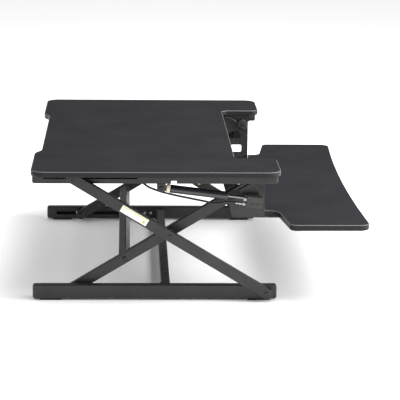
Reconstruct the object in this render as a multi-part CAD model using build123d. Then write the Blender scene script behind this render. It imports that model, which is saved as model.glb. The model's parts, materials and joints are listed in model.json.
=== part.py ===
from build123d import *
import os
from math import atan2, cos, degrees, hypot, radians, sin

# Standing desk converter. Millimetres, +Z up. Everything is drawn with Y = 0 near the middle of the
# base; save() then moves it so that the origin is on the floor, in the middle of the whole length.
# +Y points to the rear of the desk, -Y to the person using it, +X to that person's right.
# Every right-hand piece is drawn at its own place and mirrored in the YZ plane for the left side.

# ---- driving dimensions ----
DESK_WIDTH = 914.0
DESK_DEPTH = 559.0
DESK_TOP = 314.0              # height of the writing surface at rest
PANEL_THICKNESS = 13.0
RAIL_OUTER_X = 392.0          # outer faces of the base rails and top rails
RAIL_WIDTH = 20.0
BASE_RAIL_LENGTH = DESK_DEPTH
FOOT_HEIGHT = 3.5
BASE_RAIL_HEIGHT = 32.0
TOP_RAIL_HEIGHT = 28.0
TOP_PIVOT_RISE = 2.0          # upper pivots stand this far above the top rail's middle
ARM_SPAN = 519.0              # lower pivot to upper pivot along an arm
FIXED_PIVOT_Y = -258.0        # both front pivots stand on this line
ARM_HEIGHT = 24.0
ARM_THICKNESS = 16.0
ARM_RAIL_GAP_OUTER = 4.0
ARM_RAIL_GAP_INNER = 10.0
LOWEST_SWING = -17.0          # degrees of arm swing from rest to the lowest desk height
HIGHEST_SWING = 23.0
TUBE_WALL = 2.0
TUBE_ROUND = 2.0              # outer corner radius of the rails and cross members
ARM_ROUND = 1.2
PIN_RADIUS = 4.0
RUNNING_GAP = 0.05            # radial clearance of a turning joint
SIDE_GAP = 0.1                # side clearance between a moving arm and what it runs beside
TRAY_TOP = 193.0
TRAY_THICKNESS = 14.0

# ---- derived frame sizes ----
RAIL_INNER_X = RAIL_OUTER_X - RAIL_WIDTH
RAIL_CENTRE_X = RAIL_OUTER_X - RAIL_WIDTH / 2
OUTER_ARM_X = (RAIL_OUTER_X + ARM_RAIL_GAP_OUTER, RAIL_OUTER_X + ARM_RAIL_GAP_OUTER + ARM_THICKNESS)
INNER_ARM_X = (RAIL_INNER_X - ARM_RAIL_GAP_INNER - ARM_THICKNESS, RAIL_INNER_X - ARM_RAIL_GAP_INNER)
PANEL_BOTTOM = DESK_TOP - PANEL_THICKNESS
BASE_PIVOT_Z = FOOT_HEIGHT + BASE_RAIL_HEIGHT / 2
TOP_PIVOT_Z = PANEL_BOTTOM - TOP_RAIL_HEIGHT / 2 + TOP_PIVOT_RISE
DESK_REAR_Y = DESK_DEPTH / 2 - 2.0
DESK_FRONT_Y = DESK_REAR_Y - DESK_DEPTH
LIFT = TOP_PIVOT_Z - BASE_PIVOT_Z
REST_REACH = (ARM_SPAN**2 - LIFT**2) ** 0.5
REST_ANGLE = degrees(atan2(LIFT, REST_REACH))
SLIDER_Y = FIXED_PIVOT_Y + REST_REACH


def reach_at(swing):
    """Y of the sliding pivots when the arms have swung by this many degrees."""
    return FIXED_PIVOT_Y + ARM_SPAN * cos(radians(REST_ANGLE + swing))


# ---- small shape helpers ----
def block(x, y, z):
    """Box between three pairs of coordinates."""
    size = (x[1] - x[0], y[1] - y[0], z[1] - z[0])
    return Pos(x[0], y[0], z[0]) * Box(*size, align=(Align.MIN, Align.MIN, Align.MIN))


def bar_x(x, y, z, radius):
    """Round bar along X between two X values."""
    bar = Cylinder(radius, x[1] - x[0], align=(Align.CENTER, Align.CENTER, Align.MIN))
    return Pos(x[0], y, z) * Rot(Y=90) * bar


def bar_z(x, y, z, radius):
    """Round bar along Z between two Z values."""
    bar = Cylinder(radius, z[1] - z[0], align=(Align.CENTER, Align.CENTER, Align.MIN))
    return Pos(x, y, z[0]) * bar


def bar_y(x, y, z, radius):
    """Round bar along Y between two Y values, low Y first."""
    bar = Cylinder(radius, y[1] - y[0], align=(Align.CENTER, Align.CENTER, Align.MIN))
    return Pos(x, y[0], z) * Rot(X=-90) * bar


def ring_x(x, y, z, radius, bore):
    """Washer or spacer along X."""
    return bar_x(x, y, z, radius) - bar_x(x, y, z, bore)


def hexagon_x(x, y, z, radius, bore):
    """Hexagon nut along X with a plain bore."""
    nut = extrude(Plane.YZ.offset(x[0]) * Pos(y, z) * RegularPolygon(radius, 6), x[1] - x[0])
    return nut - bar_x(x, y, z, bore)


def plate_x(x, outline):
    """Flat plate across X from an outline drawn in Y and Z."""
    return extrude(Plane.YZ.offset(x[0]) * outline, x[1] - x[0])


def button_head_x(x_seat, y, z, direction=1, radius=7.5, height=4.5):
    """Domed bolt head standing on x_seat, with a hexagon socket."""
    x_end = x_seat + direction * height
    head = bar_x(sorted((x_seat, x_end)), y, z, radius)
    crown = head.edges().filter_by(GeomType.CIRCLE).sort_by(Axis.X)
    head = fillet(crown[-1] if direction > 0 else crown[0], height * 0.7)
    socket_depth = height * 0.5
    socket_x = sorted((x_end, x_end - direction * socket_depth))
    hexagon = Plane.YZ.offset(socket_x[0]) * Pos(y, z) * RegularPolygon(radius * 0.38, 6)
    socket = extrude(hexagon, socket_depth)
    return head - socket


def corners_near(face, points):
    """The corners of a flat outline that lie at the given points."""
    return [face.vertices().sort_by_distance(Vector(*point))[0] for point in points]


def soften(solid, radius, axis=Axis.Z):
    """Round the rims of the two end faces of a flat piece."""
    faces = solid.faces().sort_by(axis)
    return fillet(faces[0].edges() + faces[-1].edges(), radius)


def mirrored(solid):
    return mirror(solid, about=Plane.YZ)


def save(name, *solids):
    """Write one node, moved from the drawing's origin to the middle of the whole length."""
    to_origin = Pos(0, -(frontmost_y() + DESK_REAR_Y) / 2, 0)
    placed = [to_origin * solid for solid in solids]
    shape = placed[0] if len(placed) == 1 else Compound(children=placed)
    shape.label = name
    export_step(shape, f"parts/{name}.step")


def save_pair(name, solid):
    """Write a right-hand piece and its left-hand mirror image as two nodes."""
    save(f"{name}_right", solid)
    save(f"{name}_left", mirrored(solid))


def save_both(name, *solids):
    """Write right-hand pieces and their mirror images as one node of separate solids."""
    save(name, *solids, *[mirrored(solid) for solid in solids])


# ---- arms ----
ARM_CENTRE = ARM_SPAN / 2
PLUG_DEPTH = 30.0


def arm_web_outline():
    """Side view of an arm, along +Y from its first pivot: straight edges and round ends."""
    return Pos(ARM_CENTRE, 0) * SlotCenterToCenter(ARM_SPAN, ARM_HEIGHT)


def arm_cavity(x):
    """The hollow inside an arm, longer than the arm at both ends."""
    inside_height = ARM_HEIGHT / 2 - TUBE_WALL
    inside_x = (x[0] + TUBE_WALL, x[1] - TUBE_WALL)
    return block(inside_x, (-ARM_HEIGHT, ARM_SPAN + ARM_HEIGHT), (-inside_height, inside_height))


def arm_tube(x, bore_radii):
    """Rectangular tube with round-nosed webs and pivot holes at both ends and the middle."""
    tube = soften(plate_x(x, arm_web_outline()), ARM_ROUND, Axis.X) - arm_cavity(x)
    for y, radius in zip((0, ARM_CENTRE, ARM_SPAN), bore_radii):
        tube -= bar_x((x[0] - 1, x[1] + 1), y, 0, radius)
    return tube


def arm_plug(x, at_far_end, bore):
    """Moulded nose that closes one end of an arm and carries its pivot."""
    filling = plate_x(x, arm_web_outline()) & arm_cavity(x)
    y = (ARM_SPAN - PLUG_DEPTH, ARM_SPAN + ARM_HEIGHT) if at_far_end else (-ARM_HEIGHT, PLUG_DEPTH)
    pivot_y = ARM_SPAN if at_far_end else 0
    nose = filling & block(x, y, (-ARM_HEIGHT, ARM_HEIGHT))
    return nose - bar_x(x, pivot_y, 0, bore)


def centre_bush(x, bore):
    """Steel tube welded across an arm at its centre pivot."""
    wall = (x[0] + TUBE_WALL, x[1] - TUBE_WALL)
    return ring_x(wall, ARM_CENTRE, 0, PIN_RADIUS + 3.5, bore)


def on_outer_arm(piece):
    """Place a piece drawn along an arm onto the outer arm, which rises to the rear."""
    return Pos(0, FIXED_PIVOT_Y, BASE_PIVOT_Z) * Rot(X=REST_ANGLE) * piece


def on_inner_arm(piece):
    """Place a piece drawn along an arm onto the inner arm, which falls to the rear."""
    return Pos(0, FIXED_PIVOT_Y, TOP_PIVOT_Z) * Rot(X=-REST_ANGLE) * piece


# ---- rails ----
SLOT_MARGIN = PIN_RADIUS + 4.0
SLOT_HALF_HEIGHT = PIN_RADIUS + 0.8
RAIL_CAP_LENGTH = 7.0
CAP_BULGE = 5.0
CAP_PLUG_LENGTH = 8.0
TAB_SIZE = (25.0, 30.0, 3.0)
TAB_PLACES_Y = (20.0, 222.0)
FRONT_SCREW_PLACES_Y = (-100.0, -190.0)
SCREW_RADIUS = 2.5
SCREW_BITE = 10.0


def rail_tube(y, z):
    """Rectangular tube along Y."""
    tube = block((RAIL_INNER_X, RAIL_OUTER_X), y, z)
    tube = fillet(tube.edges().filter_by(Axis.Y), TUBE_ROUND)
    inside_x = (RAIL_INNER_X + TUBE_WALL, RAIL_OUTER_X - TUBE_WALL)
    return tube - block(inside_x, (y[0] - 1, y[1] + 1), (z[0] + TUBE_WALL, z[1] - TUBE_WALL))


def slider_slot(x, z):
    """The long slot that a slider axle runs in."""
    low_y = reach_at(HIGHEST_SWING) - SLOT_MARGIN
    high_y = reach_at(LOWEST_SWING) + SLOT_MARGIN
    outline = Pos((low_y + high_y) / 2, z) * SlotOverall(high_y - low_y, 2 * SLOT_HALF_HEIGHT)
    return plate_x(x, outline)


BASE_RAIL_Z = (FOOT_HEIGHT, FOOT_HEIGHT + BASE_RAIL_HEIGHT)
BASE_CENTRE_Y = DESK_REAR_Y - BASE_RAIL_LENGTH / 2
BASE_TUBE_Y = (DESK_FRONT_Y + RAIL_CAP_LENGTH, DESK_REAR_Y - RAIL_CAP_LENGTH)
TOP_RAIL_Z = (PANEL_BOTTOM - TOP_RAIL_HEIGHT, PANEL_BOTTOM)
TOP_TUBE_Y = (DESK_FRONT_Y + 9, DESK_REAR_Y - 8)
NOTCH_Y = (-50.0, -37.0)
NOTCH_HEIGHT = 7.0


def base_rail():
    rail = rail_tube(BASE_TUBE_Y, BASE_RAIL_Z)
    rail -= slider_slot((RAIL_INNER_X - 1, RAIL_INNER_X + TUBE_WALL), BASE_PIVOT_Z)
    rail -= bar_x((RAIL_INNER_X - 1, RAIL_OUTER_X + 1), FIXED_PIVOT_Y, BASE_PIVOT_Z, PIN_RADIUS)
    for screw in joint_screws():
        rail -= screw
    return rail


def top_rail():
    rail = rail_tube(TOP_TUBE_Y, TOP_RAIL_Z)
    rail -= slider_slot((RAIL_OUTER_X - TUBE_WALL, RAIL_OUTER_X + 1), TOP_PIVOT_Z)
    rail -= bar_x((RAIL_INNER_X - 1, RAIL_OUTER_X + 1), FIXED_PIVOT_Y, TOP_PIVOT_Z, PIN_RADIUS)
    notch_z = (TOP_RAIL_Z[0] - 1, TOP_RAIL_Z[0] + NOTCH_HEIGHT)
    rail -= block((RAIL_INNER_X - 1, RAIL_OUTER_X + 1), NOTCH_Y, notch_z)
    for y in TAB_PLACES_Y:
        rail += block((RAIL_INNER_X - TAB_SIZE[0], RAIL_INNER_X), (y, y + TAB_SIZE[1]),
                      (PANEL_BOTTOM - TAB_SIZE[2], PANEL_BOTTOM))
    for screw in desktop_screws():
        rail -= screw
    return rail


def end_cap(y_face, direction, z):
    """Moulded cap with a bulging face; its plug fills the end of a rail."""
    y_out = y_face + direction * RAIL_CAP_LENGTH
    y_in = y_face - direction * CAP_PLUG_LENGTH
    face = block((RAIL_INNER_X, RAIL_OUTER_X), sorted((y_face, y_out)), z)
    face = fillet(face.edges().filter_by(Axis.Y), TUBE_ROUND)
    rim = face.faces().sort_by(Axis.Y)[-1 if direction > 0 else 0].edges()
    face = fillet(rim, CAP_BULGE)
    plug = block((RAIL_INNER_X + TUBE_WALL, RAIL_OUTER_X - TUBE_WALL), sorted((y_face, y_in)),
                 (z[0] + TUBE_WALL, z[1] - TUBE_WALL))
    return face + plug


def rail_caps(tube_y, z):
    return [end_cap(tube_y[0], -1, z), end_cap(tube_y[1], 1, z)]


# ---- base ----
FOOT_LENGTH = 50.0
FOOT_INSET = 16.0
CROSS_TUBE_Y = (-37.0, -17.0)
CROSS_TUBE_Z = (6.0, 31.0)
JOINT_PLATE_THICKNESS = 3.0
JOINT_PLATE_REAR_Y = 25.0
JOINT_FLANGE_X = RAIL_INNER_X - 25.0
JOINT_SCREW_PLACES_Y = (-1.0, 15.0)


def foot_pads():
    """Rubber pads under both ends of a base rail."""
    pads = []
    for end in (-1, 1):
        outer_y = BASE_CENTRE_Y + end * (BASE_RAIL_LENGTH / 2 - FOOT_INSET)
        y = sorted((outer_y, outer_y - end * FOOT_LENGTH))
        pad = block((RAIL_INNER_X + 1, RAIL_OUTER_X - 1), y, (0, FOOT_HEIGHT))
        pads.append(fillet(pad.edges().filter_by(Axis.Z), 4))
    return pads


def base_cross_tube():
    """Cross member between the base rails."""
    end = RAIL_INNER_X - JOINT_PLATE_THICKNESS
    tube = block((-end, end), CROSS_TUBE_Y, CROSS_TUBE_Z)
    tube = fillet(tube.edges().filter_by(Axis.X), TUBE_ROUND)
    inside_y = (CROSS_TUBE_Y[0] + TUBE_WALL, CROSS_TUBE_Y[1] - TUBE_WALL)
    inside_z = (CROSS_TUBE_Z[0] + TUBE_WALL, CROSS_TUBE_Z[1] - TUBE_WALL)
    return tube - block((-RAIL_OUTER_X, RAIL_OUTER_X), inside_y, inside_z)


def joint_screws():
    """Screws from the joint plate into the base rail."""
    seat_x = RAIL_INNER_X - JOINT_PLATE_THICKNESS
    screws = []
    for y in JOINT_SCREW_PLACES_Y:
        shank = bar_x((seat_x, RAIL_INNER_X + 2 * TUBE_WALL), y, BASE_PIVOT_Z, SCREW_RADIUS)
        screws.append(shank + button_head_x(seat_x, y, BASE_PIVOT_Z, -1, radius=4.5, height=2.8))
    return screws


def joint_plate():
    """Angle plate that joins the cross member to a base rail."""
    web = block((RAIL_INNER_X - JOINT_PLATE_THICKNESS, RAIL_INNER_X),
                (CROSS_TUBE_Y[0], JOINT_PLATE_REAR_Y), CROSS_TUBE_Z)
    flange = block((JOINT_FLANGE_X, RAIL_INNER_X), (CROSS_TUBE_Y[1], CROSS_TUBE_Y[1] + JOINT_PLATE_THICKNESS),
                   CROSS_TUBE_Z)
    plate = web + flange
    for screw in joint_screws():
        plate -= screw
    return plate


# ---- pivot bolts ----
NUT_HEIGHT = 6.5
BOLT_TIP = 0.5                  # how far a bolt stands out of its nut
BOLT_END_X = INNER_ARM_X[0] - NUT_HEIGHT - BOLT_TIP
NUT_RADIUS = 7.5
LOW_HEAD_RADIUS = 6.0
SPACER_RADIUS = 9.5
BORE_RUNNING = PIN_RADIUS + RUNNING_GAP


def lower_pivot():
    """Bolt, washer and nut that hold the outer arm's lower end on the base rail."""
    place = (FIXED_PIVOT_Y, BASE_PIVOT_Z)
    head_x = OUTER_ARM_X[1] + SIDE_GAP
    bolt = bar_x((RAIL_INNER_X - NUT_HEIGHT - BOLT_TIP, head_x), *place, PIN_RADIUS)
    bolt += button_head_x(head_x, *place, radius=LOW_HEAD_RADIUS, height=2.8)
    washer = ring_x((RAIL_OUTER_X, OUTER_ARM_X[0] - SIDE_GAP), *place, SPACER_RADIUS, PIN_RADIUS)
    nut = hexagon_x((RAIL_INNER_X - NUT_HEIGHT, RAIL_INNER_X), *place, NUT_RADIUS, PIN_RADIUS)
    return bolt, washer, nut


def upper_pivot():
    """Bolt, spacer and nut that hold the inner arm's upper end on the top rail."""
    place = (FIXED_PIVOT_Y, TOP_PIVOT_Z)
    bolt = bar_x((BOLT_END_X, RAIL_OUTER_X), *place, PIN_RADIUS) + button_head_x(RAIL_OUTER_X, *place)
    spacer = ring_x((INNER_ARM_X[1] + SIDE_GAP, RAIL_INNER_X), *place, SPACER_RADIUS, PIN_RADIUS)
    nut = hexagon_x((BOLT_END_X + BOLT_TIP, INNER_ARM_X[0] - SIDE_GAP), *place, NUT_RADIUS, PIN_RADIUS)
    return bolt, spacer, nut


def centre_pivot():
    """Bolt, spacer and nut through both arms where they cross, drawn along the outer arm."""
    place = (ARM_CENTRE, 0)
    bolt = bar_x((BOLT_END_X, OUTER_ARM_X[1]), *place, PIN_RADIUS)
    bolt += button_head_x(OUTER_ARM_X[1], *place, radius=LOW_HEAD_RADIUS, height=2.2)
    spacer = ring_x((INNER_ARM_X[1] + SIDE_GAP, OUTER_ARM_X[0]), *place, SPACER_RADIUS, PIN_RADIUS)
    nut = hexagon_x((BOLT_END_X + BOLT_TIP, INNER_ARM_X[0] - SIDE_GAP), *place, NUT_RADIUS, PIN_RADIUS)
    return bolt, spacer, nut


# ---- sliders ----
BLOCK_LENGTH = 28.0
BLOCK_SIDE_GAP = 0.2
BLOCK_X = (RAIL_INNER_X + TUBE_WALL + BLOCK_SIDE_GAP, RAIL_OUTER_X - TUBE_WALL - BLOCK_SIDE_GAP)


def slide_block(z, rail_height):
    """Nylon block that slides inside a rail."""
    half_height = rail_height / 2 - TUBE_WALL - SIDE_GAP
    slider = block(BLOCK_X, (SLIDER_Y - BLOCK_LENGTH / 2, SLIDER_Y + BLOCK_LENGTH / 2),
                   (z - half_height, z + half_height))
    slider = fillet(slider.edges().filter_by(Axis.X), 4)
    return slider - bar_x((RAIL_INNER_X, RAIL_OUTER_X), SLIDER_Y, z, BORE_RUNNING)


def top_slider_axle():
    """Axle fixed in the outer arm's rear end, drawn along the outer arm."""
    place = (ARM_SPAN, 0)
    axle = bar_x((BLOCK_X[0] + 1, OUTER_ARM_X[1]), *place, PIN_RADIUS)
    collar = ring_x((RAIL_OUTER_X + SIDE_GAP, OUTER_ARM_X[0]), *place, SPACER_RADIUS, PIN_RADIUS)
    return axle + button_head_x(OUTER_ARM_X[1], *place) + collar


def base_slider_axle():
    """Axle fixed in the inner arm's rear end, drawn along the inner arm."""
    place = (ARM_SPAN, 0)
    axle = bar_x((INNER_ARM_X[0], BLOCK_X[1] - 1), *place, PIN_RADIUS)
    collar = ring_x((INNER_ARM_X[1], RAIL_INNER_X - SIDE_GAP), *place, SPACER_RADIUS, PIN_RADIUS)
    return axle + button_head_x(INNER_ARM_X[0], *place, -1) + collar


# ---- crossbar between the inner arms ----
CROSSBAR_Y = ARM_SPAN - 137.0   # along the inner arm
CROSSBAR_SIZE = 20.0
CROSSBAR_BOLT_RADIUS = 3.0


def inner_crossbar():
    """Square tube with end plates that ties the two inner arms together, drawn along an arm."""
    half = CROSSBAR_SIZE / 2
    y = (CROSSBAR_Y - half, CROSSBAR_Y + half)
    bar = block((-INNER_ARM_X[0], INNER_ARM_X[0]), y, (-half, half))
    bar = fillet(bar.edges().filter_by(Axis.X), TUBE_ROUND)
    inside = block((-INNER_ARM_X[0] + TUBE_WALL, INNER_ARM_X[0] - TUBE_WALL),
                   (y[0] + TUBE_WALL, y[1] - TUBE_WALL), (TUBE_WALL - half, half - TUBE_WALL))
    bar -= inside
    for bolt in (crossbar_bolt(), mirrored(crossbar_bolt())):
        bar -= bolt
    return bar


def crossbar_bolt():
    """Bolt through an inner arm into the end of the crossbar, drawn along the arm."""
    shank = bar_x((INNER_ARM_X[0] - 12, INNER_ARM_X[1]), CROSSBAR_Y, 0, CROSSBAR_BOLT_RADIUS)
    return shank + button_head_x(INNER_ARM_X[1], CROSSBAR_Y, 0, radius=5.0, height=3.2)


# ---- gas spring ----
SPRING_MOUNT_Y = -15.0
SPRING_MOUNT_Z = 262.5
LUG_DROP = 30.0                 # degrees below the inner arm's centre line
SPRING_PIN_REACH = 60.0         # from the upper pivot to the spring's front pin
LUG_REACH = 62.4                # from the upper pivot to the middle of the lug's hole
LUG_HOLE_RADIUS = 6.9           # oversize: this is the pivot where the closed linkage is opened
LUG_THICKNESS = 5.0
LUG_ROOT_LENGTH = 44.0
LUG_Y = LUG_REACH * cos(radians(LUG_DROP))
LUG_Z = -LUG_REACH * sin(radians(LUG_DROP))
SPRING_PIN_Y = FIXED_PIVOT_Y + SPRING_PIN_REACH * cos(radians(REST_ANGLE + LUG_DROP))
SPRING_PIN_Z = TOP_PIVOT_Z - SPRING_PIN_REACH * sin(radians(REST_ANGLE + LUG_DROP))
SPRING_LENGTH = hypot(SPRING_MOUNT_Y - SPRING_PIN_Y, SPRING_MOUNT_Z - SPRING_PIN_Z)
SPRING_TILT = degrees(atan2(SPRING_MOUNT_Z - SPRING_PIN_Z, SPRING_MOUNT_Y - SPRING_PIN_Y))
EYE_RADIUS = 6.5
EYE_THICKNESS = 8.0
CYLINDER_RADIUS = 9.5
CYLINDER_START = 20.0           # distances along the spring from its rear pin
CYLINDER_END = 153.0
CYLINDER_WALL = 1.5
CYLINDER_END_WALL = 5.0
COLLAR_GAP = 2.0                # between the collar and the clevis
ROD_RADIUS = 4.0
ROD_INNER_END = 62.0
PISTON_LENGTH = 10.0
NUT_START = 189.0
NUT_LENGTH = 7.0
HEAD_LENGTH = 36.5
HEAD_ABOVE_ROD = 7.0
HEAD_BELOW_ROD = 18.5
HEAD_X = (RAIL_INNER_X - 3.0, RAIL_OUTER_X + 4.0)
SPRING_PIN_RADIUS = 4.0
SPRING_PIN_X = (INNER_ARM_X[1] - 6.0, HEAD_X[1] - 4.0)
SPRING_PIN_FLANGE_RADIUS = 10.5
CHEEK_THICKNESS = 3.0
MOUNT_PIN_RADIUS = 3.0
MOUNT_WIDTH_Y = 20.0


def on_spring(piece):
    """Place a piece drawn along -Y from the spring's rear pin onto the spring's line."""
    return Pos(RAIL_CENTRE_X, SPRING_MOUNT_Y, SPRING_MOUNT_Z) * Rot(X=SPRING_TILT) * piece


def spring_cylinder():
    """Pressure tube with a rear eye, open at the gland where the rod comes out."""
    tube = bar_y(0, (-CYLINDER_END, -CYLINDER_START), 0, CYLINDER_RADIUS)
    tube = fillet(tube.edges().filter_by(GeomType.CIRCLE), 2)
    cavity_y = (-CYLINDER_END + CYLINDER_END_WALL, -CYLINDER_START - CYLINDER_END_WALL)
    tube -= bar_y(0, cavity_y, 0, CYLINDER_RADIUS - CYLINDER_WALL)
    tube -= bar_y(0, (-CYLINDER_END - 1, cavity_y[0] + 1), 0, ROD_RADIUS + RUNNING_GAP)
    half = EYE_THICKNESS / 2
    eye = bar_x((-half, half), 0, 0, EYE_RADIUS)
    eye += block((-half, half), (-CYLINDER_START - 1, 0), (-EYE_RADIUS, EYE_RADIUS))
    eye -= bar_x((-half, half), 0, 0, MOUNT_PIN_RADIUS + RUNNING_GAP)
    return on_spring(tube + eye)


def spring_collar():
    """Pale plastic collar on the eye's neck, behind the cylinder."""
    length = CYLINDER_START - MOUNT_WIDTH_Y / 2 - COLLAR_GAP
    collar = bar_y(0, (-CYLINDER_START, -CYLINDER_START + length), 0, CYLINDER_RADIUS + 1)
    collar = fillet(collar.edges().filter_by(GeomType.CIRCLE), 1.5)
    half = EYE_THICKNESS / 2
    neck = block((-half, half), (-CYLINDER_START, 0), (-EYE_RADIUS, EYE_RADIUS))
    return on_spring(collar - neck)


def spring_rod():
    rod = bar_y(0, (-NUT_START - NUT_LENGTH - 6, -ROD_INNER_END), 0, ROD_RADIUS)
    return on_spring(rod)


def spring_piston():
    y = (-ROD_INNER_END - PISTON_LENGTH, -ROD_INNER_END)
    piston = bar_y(0, y, 0, CYLINDER_RADIUS - CYLINDER_WALL - RUNNING_GAP)
    return on_spring(piston - bar_y(0, y, 0, ROD_RADIUS))


def rod_lock_nut():
    """Hexagon nut against the release head."""
    y = (-NUT_START - NUT_LENGTH, -NUT_START)
    nut = extrude(Plane.XZ.offset(-y[1]) * RegularPolygon(8, 6), NUT_LENGTH)
    return on_spring(nut - bar_y(0, y, 0, ROD_RADIUS))


def release_head():
    """Cast block screwed to the rod; the cable works its valve lever."""
    x = (HEAD_X[0] - RAIL_CENTRE_X, HEAD_X[1] - RAIL_CENTRE_X)
    y = (-NUT_START - NUT_LENGTH - HEAD_LENGTH, -NUT_START - NUT_LENGTH)
    head = block(x, y, (-HEAD_BELOW_ROD, HEAD_ABOVE_ROD))
    head = soften(fillet(head.edges().filter_by(Axis.X), 2), 0.8, Axis.X)
    head -= bar_y(0, (y[1] - 6, y[1] + 1), 0, ROD_RADIUS)
    head -= bar_x((x[0] - 1, SPRING_PIN_X[1] - RAIL_CENTRE_X), -SPRING_LENGTH, 0, SPRING_PIN_RADIUS)
    return on_spring(head)


def spring_end_pin():
    """Pin through the release head; its flange stands inside the lug on the inner arm."""
    x = (SPRING_PIN_X[0] - RAIL_CENTRE_X, SPRING_PIN_X[1] - RAIL_CENTRE_X)
    pin = bar_x(x, -SPRING_LENGTH, 0, SPRING_PIN_RADIUS)
    pin += bar_x((x[0], x[0] + 4), -SPRING_LENGTH, 0, SPRING_PIN_FLANGE_RADIUS)
    return on_spring(pin)


def spring_lug():
    """Plate welded to the outside of the inner arm; drawn along the arm."""
    x = (INNER_ARM_X[1], INNER_ARM_X[1] + LUG_THICKNESS)
    root = Pos(LUG_Y, -LUG_THICKNESS / 2) * Rectangle(LUG_ROOT_LENGTH, ARM_HEIGHT / 2)
    ear = Pos(LUG_Y, LUG_Z) * Circle(LUG_HOLE_RADIUS + LUG_THICKNESS)
    outline = make_hull((root + ear).edges()) - Pos(LUG_Y, LUG_Z) * Circle(LUG_HOLE_RADIUS)
    return plate_x(x, outline)


def spring_mount():
    """Clevis under the top rail that holds the spring's rear eye."""
    y = (SPRING_MOUNT_Y - MOUNT_WIDTH_Y / 2, SPRING_MOUNT_Y + MOUNT_WIDTH_Y / 2)
    top_z = TOP_RAIL_Z[0]
    roof = block((RAIL_INNER_X, RAIL_OUTER_X), y, (top_z - CHEEK_THICKNESS, top_z))
    clevis = roof
    for x in ((RAIL_INNER_X, RAIL_INNER_X + CHEEK_THICKNESS), (RAIL_OUTER_X - CHEEK_THICKNESS, RAIL_OUTER_X)):
        clevis += block(x, y, (SPRING_MOUNT_Z, top_z))
        clevis += bar_x(x, SPRING_MOUNT_Y, SPRING_MOUNT_Z, MOUNT_WIDTH_Y / 2)
    pin_hole = bar_x((RAIL_INNER_X - 1, RAIL_OUTER_X + 1), SPRING_MOUNT_Y, SPRING_MOUNT_Z, MOUNT_PIN_RADIUS)
    return clevis - pin_hole


def spring_mount_pin():
    """Clevis pin with a head on each side."""
    place = (SPRING_MOUNT_Y, SPRING_MOUNT_Z)
    pin = bar_x((RAIL_INNER_X - 2.5, RAIL_OUTER_X), *place, MOUNT_PIN_RADIUS)
    pin += bar_x((RAIL_INNER_X - 2.5, RAIL_INNER_X), *place, MOUNT_PIN_RADIUS + 1.5)
    return pin + button_head_x(RAIL_OUTER_X, *place, radius=5, height=2.6)


# ---- desktop ----
DESK_CORNER_RADIUS = 30.0
CUT_HALF_WIDTH = 300.0
CUT_REAR_Y = -185.5
CUT_INNER_RADIUS = 18.0
WING_TIP_RADIUS = 20.0
RECESS_DEPTH = 15.0
RECESS_HALF_WIDTH = 203.0
RECESS_STEP = 57.0
EDGE_ROUND = 2.5


def rear_recess():
    """Shallow scoop along the rear edge with S-shaped ends."""
    inner_y = DESK_REAR_Y - RECESS_DEPTH
    outer_x = RECESS_HALF_WIDTH + RECESS_STEP
    middle_x = RECESS_HALF_WIDTH + RECESS_STEP / 2
    edges = [Line((-RECESS_HALF_WIDTH, inner_y), (RECESS_HALF_WIDTH, inner_y))]
    for side in (-1, 1):
        edges.append(Bezier((side * RECESS_HALF_WIDTH, inner_y), (side * middle_x, inner_y),
                            (side * middle_x, DESK_REAR_Y), (side * outer_x, DESK_REAR_Y)))
    edges.append(Line((-outer_x, DESK_REAR_Y), (outer_x, DESK_REAR_Y)))
    return make_face(Wire(edges))


def desktop_outline():
    """U-shaped panel: two wings reach forward on both sides of the keyboard cut-out."""
    middle = Pos(0, (DESK_REAR_Y + DESK_FRONT_Y) / 2)
    panel = middle * RectangleRounded(DESK_WIDTH, DESK_DEPTH, DESK_CORNER_RADIUS)
    cut_front_y = DESK_FRONT_Y - 10
    cut_out = Pos(0, (CUT_REAR_Y + cut_front_y) / 2) * Rectangle(2 * CUT_HALF_WIDTH, CUT_REAR_Y - cut_front_y)
    panel = panel - cut_out
    inner_corners = [(side * CUT_HALF_WIDTH, CUT_REAR_Y, 0) for side in (-1, 1)]
    panel = fillet(corners_near(panel, inner_corners), CUT_INNER_RADIUS)
    wing_tips = [(side * CUT_HALF_WIDTH, DESK_FRONT_Y, 0) for side in (-1, 1)]
    panel = fillet(corners_near(panel, wing_tips), WING_TIP_RADIUS)
    return panel - rear_recess()


def desktop():
    panel = soften(extrude(Pos(0, 0, PANEL_BOTTOM) * desktop_outline(), PANEL_THICKNESS), EDGE_ROUND)
    for screw in desktop_screws() + bracket_screws():
        panel -= screw
        panel -= mirrored(screw)
    return panel


def screw_up(x, y, z_seat, z_end):
    """Pan-head screw driven upwards, its head below z_seat."""
    head = bar_z(x, y, (z_seat - 2.5, z_seat), 4.5)
    head = fillet(head.edges().filter_by(GeomType.CIRCLE).sort_by(Axis.Z)[0], 1.2)
    return head + bar_z(x, y, (z_seat, z_end), SCREW_RADIUS)


def desktop_screws():
    """Screws that hold a top rail to the panel: two through the rail, two through its tabs."""
    screws = []
    for y in FRONT_SCREW_PLACES_Y:
        screws.append(screw_up(RAIL_CENTRE_X, y, TOP_RAIL_Z[0], PANEL_BOTTOM + SCREW_BITE))
    for y in TAB_PLACES_Y:
        screws.append(screw_up(RAIL_INNER_X - TAB_SIZE[0] / 2, y + TAB_SIZE[1] / 2,
                               PANEL_BOTTOM - TAB_SIZE[2], PANEL_BOTTOM + SCREW_BITE))
    return screws


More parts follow.
